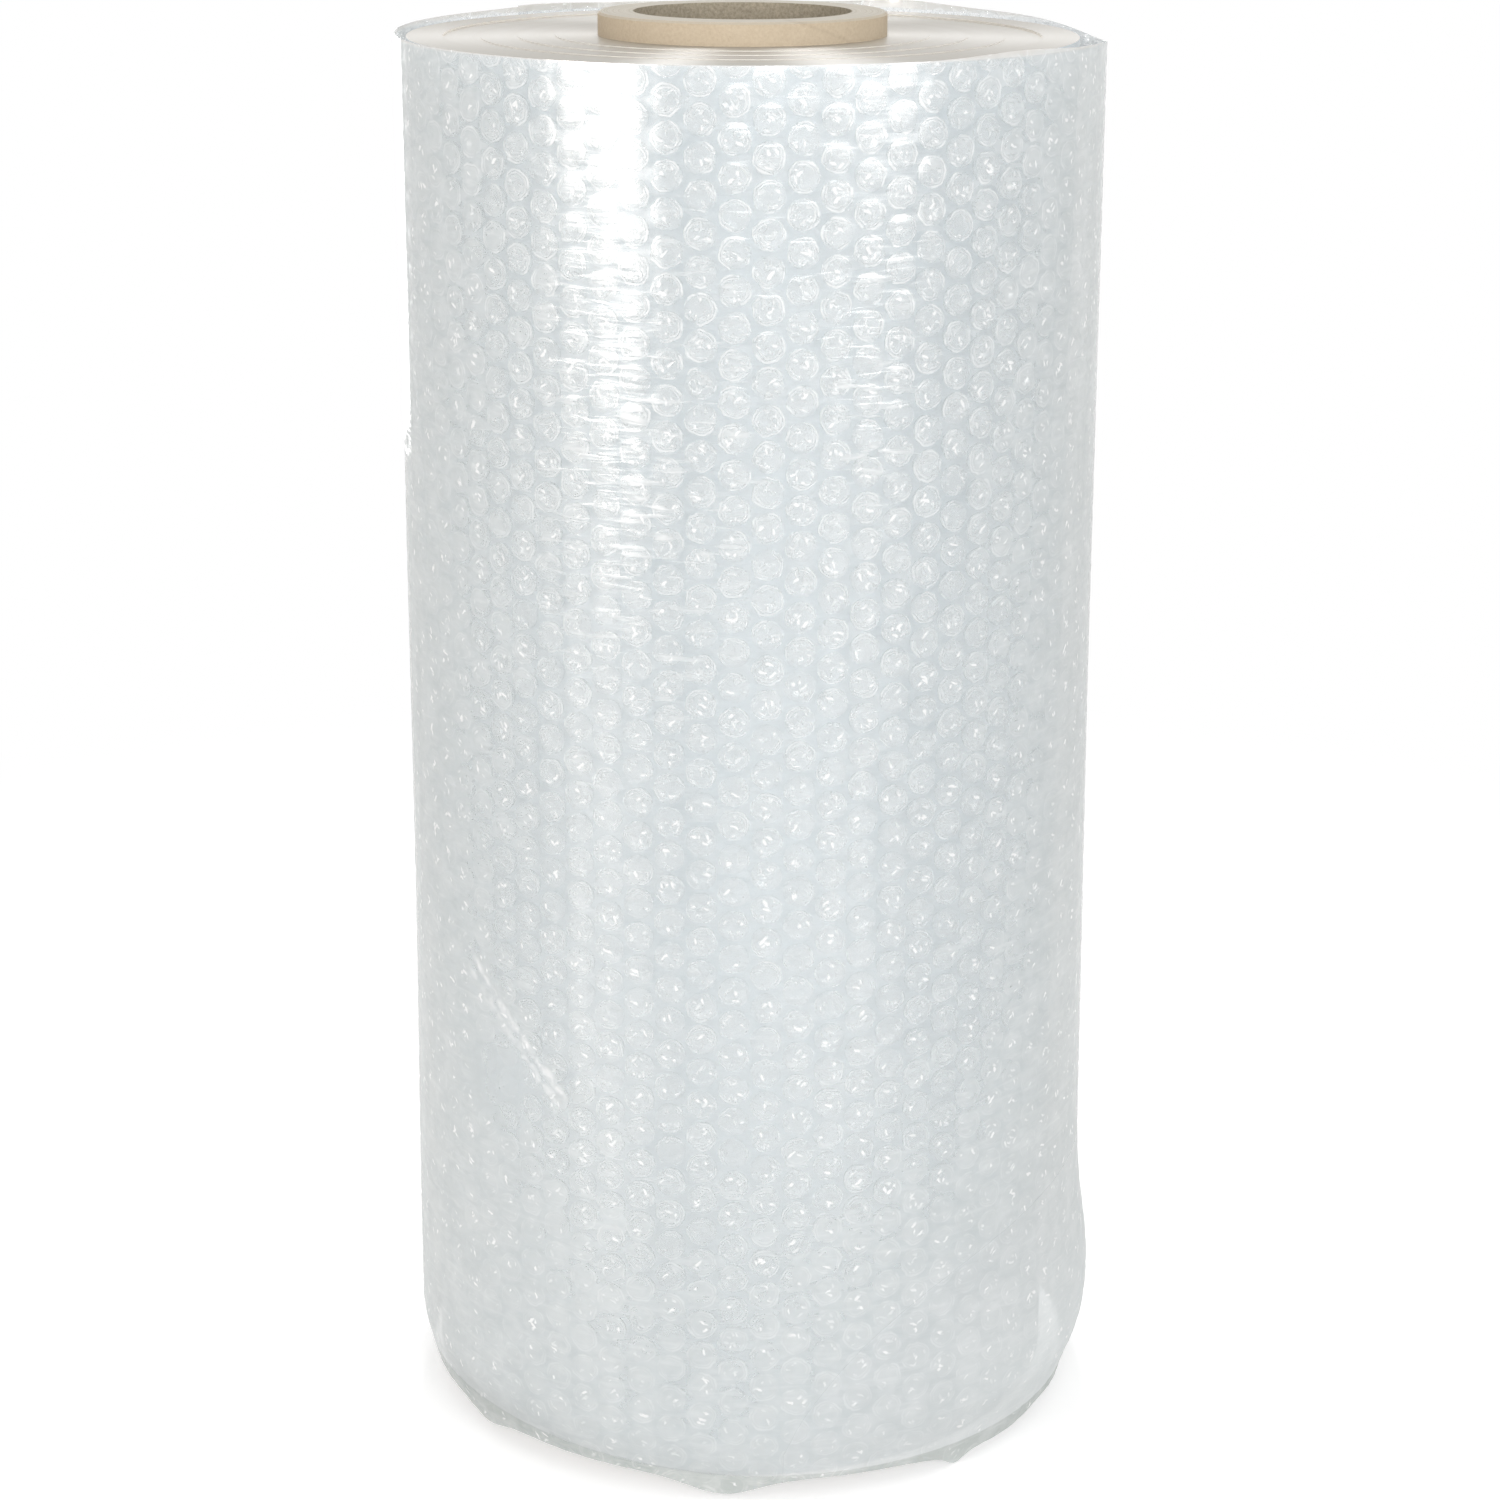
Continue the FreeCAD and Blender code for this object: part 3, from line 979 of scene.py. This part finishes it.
def make_floor():
    """White floor. Near the roll it takes its shadow, and further off it is plain white to the eye."""
    half = 40.0
    near_radius = 0.35
    far_radius = 0.9
    lift_strength = 0.55
    corners = [(-half, -half, 0), (half, -half, 0), (half, half, 0), (-half, half, 0)]
    mesh = bpy.data.meshes.new("floor")
    mesh.from_pydata(corners, [], [(0, 1, 2, 3)])
    floor = bpy.data.objects.new("floor", mesh)
    bpy.context.scene.collection.objects.link(floor)
    material, tree = start_material("floor_white")
    point = add_node(tree, "ShaderNodeNewGeometry").outputs["Position"]
    away = add_node(tree, "ShaderNodeVectorMath", {0: point}, operation="LENGTH").outputs["Value"]
    seen = seen_by_eye(tree)
    board = add_node(tree, "ShaderNodeBsdfDiffuse", {"Color": (*floor_grey, 1.0)})
    lift = add_node(tree, "ShaderNodeEmission", {"Strength": times(tree, seen, lift_strength)})
    near = add_node(tree, "ShaderNodeAddShader", {0: board.outputs[0], 1: lift.outputs[0]})
    white = add_node(tree, "ShaderNodeEmission", {"Strength": 1.0})
    shader = add_node(tree, "ShaderNodeMixShader", {
        0: times(tree, seen, ease(tree, away, near_radius, far_radius)),
        1: near.outputs[0], 2: white.outputs[0]})
    finish_material(tree, shader)
    mesh.materials.append(material)


def make_world(ambient):
    """White sky, which lights the roll by its ambient strength."""
    world = bpy.data.worlds.new("studio")
    bpy.context.scene.world = world
    world.use_nodes = True
    tree = world.node_tree
    tree.nodes.clear()
    strength = between(tree, seen_by_eye(tree), ambient, 1.0)
    glow = add_node(tree, "ShaderNodeBackground", {"Color": (1.0, 1.0, 1.0, 1.0), "Strength": strength})
    add_node(tree, "ShaderNodeOutputWorld", {"Surface": glow.outputs[0]})


def soften_edges(lamp, soft):
    """Fades a lamp's brightness to nothing over a distance from its edges."""
    lamp.use_nodes = True
    tree = lamp.node_tree
    tree.nodes.clear()
    parts = separate(tree, add_node(tree, "ShaderNodeNewGeometry").outputs["Parametric"])
    shares = []
    for part, size in ((parts[0], lamp.size), (parts[1], lamp.size_y)):
        inward = minus(tree, 0.5, size_of(tree, minus(tree, part, 0.5)))
        shares.append(ease(tree, inward, 0.0, min(0.5, soft / size)))
    glow = add_node(tree, "ShaderNodeEmission", {"Strength": times(tree, *shares)})
    add_node(tree, "ShaderNodeOutputLight", {"Surface": glow.outputs[0]})


def add_softbox(name, azimuth, distance, height, width, tall, radiance, aim, soft=0.0,
                colour=(1.0, 1.0, 1.0)):
    """Area lamp of a given brightness round the roll, which faces a height on the roll's axis."""
    lamp = bpy.data.lights.new(name, "AREA")
    lamp.shape = "RECTANGLE"
    lamp.size = width
    lamp.size_y = tall
    lamp.color = colour
    lamp.energy = radiance * math.pi * width * tall
    if soft:
        soften_edges(lamp, soft)
    box = bpy.data.objects.new(name, lamp)
    angle = math.radians(azimuth)
    box.location = (distance * math.cos(angle), distance * math.sin(angle), height)
    box.rotation_euler = (Vector((0, 0, aim)) - box.location).to_track_quat("-Z", "Y").to_euler()
    box.visible_camera = False
    bpy.context.scene.collection.objects.link(box)


def make_lamps():
    """Soft lamps before the roll, and low and high ones behind it that glint on its upper end."""
    add_softbox("key_strip", azimuth=-141.0, distance=1.25, height=0.64, width=0.58, tall=0.74,
                radiance=5.6, aim=0.64, soft=0.18, colour=(1.0, 0.94, 0.89))
    add_softbox("key_wide", azimuth=-129.0, distance=1.30, height=0.44, width=0.60, tall=0.78,
                radiance=2.7, aim=0.40, soft=0.26, colour=(1.0, 0.95, 0.91))
    add_softbox("side_strip", azimuth=-47.0, distance=1.35, height=0.66, width=0.70, tall=0.74,
                radiance=3.8, aim=0.66, soft=0.22, colour=(1.0, 0.96, 0.93))
    add_softbox("front_box", azimuth=-75.0, distance=2.3, height=1.0, width=2.0, tall=1.2,
                radiance=3.3, aim=0.25)
    add_softbox("back_box", azimuth=102.0, distance=1.6, height=0.26, width=1.2, tall=0.44,
                radiance=4.2, aim=0.26)
    add_softbox("back_strip_1", azimuth=97.0, distance=1.3, height=1.80, width=0.10, tall=0.60,
                radiance=30.0, aim=0.50)
    add_softbox("back_strip_2", azimuth=81.0, distance=1.3, height=1.80, width=0.16, tall=0.60,
                radiance=25.0, aim=0.50)
    add_softbox("top_box", azimuth=-90.0, distance=0.9, height=1.9, width=1.0, tall=1.0,
                radiance=0.4, aim=0.5)


def make_camera():
    """The photograph's view: from a little above the roll, looking down at it."""
    pitch_angle = 72.67
    roll_angle = 0.16
    sideways = 0.0033
    back = 1.148
    above_film = 0.096
    lens = bpy.data.cameras.new("camera")
    lens.lens = 77.2
    lens.sensor_width = 36.0
    lens.clip_end = 200.0
    camera = bpy.data.objects.new("camera", lens)
    pitch = Matrix.Rotation(math.radians(pitch_angle), 3, "X")
    roll = Matrix.Rotation(math.radians(roll_angle), 3, "Z")
    camera.rotation_euler = (pitch @ roll).to_euler()
    camera.location = (sideways, -back, film_top + above_film)
    bpy.context.scene.collection.objects.link(camera)
    bpy.context.scene.camera = camera


# ---------------------------------------------------------------- assembly

def dress_cad():
    """The core and the film roll keep their CAD meshes and get materials."""
    for name, material in (("core", core_material()), ("film_roll", film_roll_material())):
        for slot in frame["nodes"][name].material_slots:
            slot.link = "OBJECT"
            slot.material = material


def add_sleeve():
    """The flat film and the bubbles, in three pieces, in place of the CAD's sleeve."""
    wall_film = bubble_material("bubble_film_wall", clear=0.05, marked=0.60, edge_on=0.20,
                                roughness=0.14, crinkle=0.0004, tint=wall_tint)
    cap_film = bubble_material("bubble_film_cap", clear=0.09, marked=0.62, edge_on=0.34,
                               roughness=0.16, crinkle=0.0007, tint=cap_tint)
    skin = make_skin()
    skin.data.materials.append(skin_material())
    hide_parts("bubble_sleeve")

    bubbles = []
    for index, centres in enumerate(np.array_split(bubble_centres(), bubble_piece_count)):
        part = make_bubbles("sleeve_bubbles_" + str(index + 1), centres, seed=100 + index)
        part.data.materials.append(wall_film)
        part.data.materials.append(cap_film)
        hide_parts("bubble_sleeve")
        bubbles.append(part)
    return skin, bubbles


def add_tapes():
    """The strips of tape, in place of the CAD's."""
    tape_film = tape_material()
    for index in range(tape_count):
        tape = make_tape(index)
        tape.data.materials.append(tape_film)
        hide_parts("closing_tape")


def main():
    dress_cad()
    skin, bubbles = add_sleeve()
    add_tapes()

    make_floor()
    make_world(ambient=0.385)
    make_lamps()
    make_camera()
    scene = bpy.context.scene
    scene.view_settings.view_transform = "Standard"
    scene.cycles.transparent_max_bounces = 40
    scene.cycles.max_bounces = 6
    scene.cycles.diffuse_bounces = 3
    scene.cycles.glossy_bounces = 2


main()
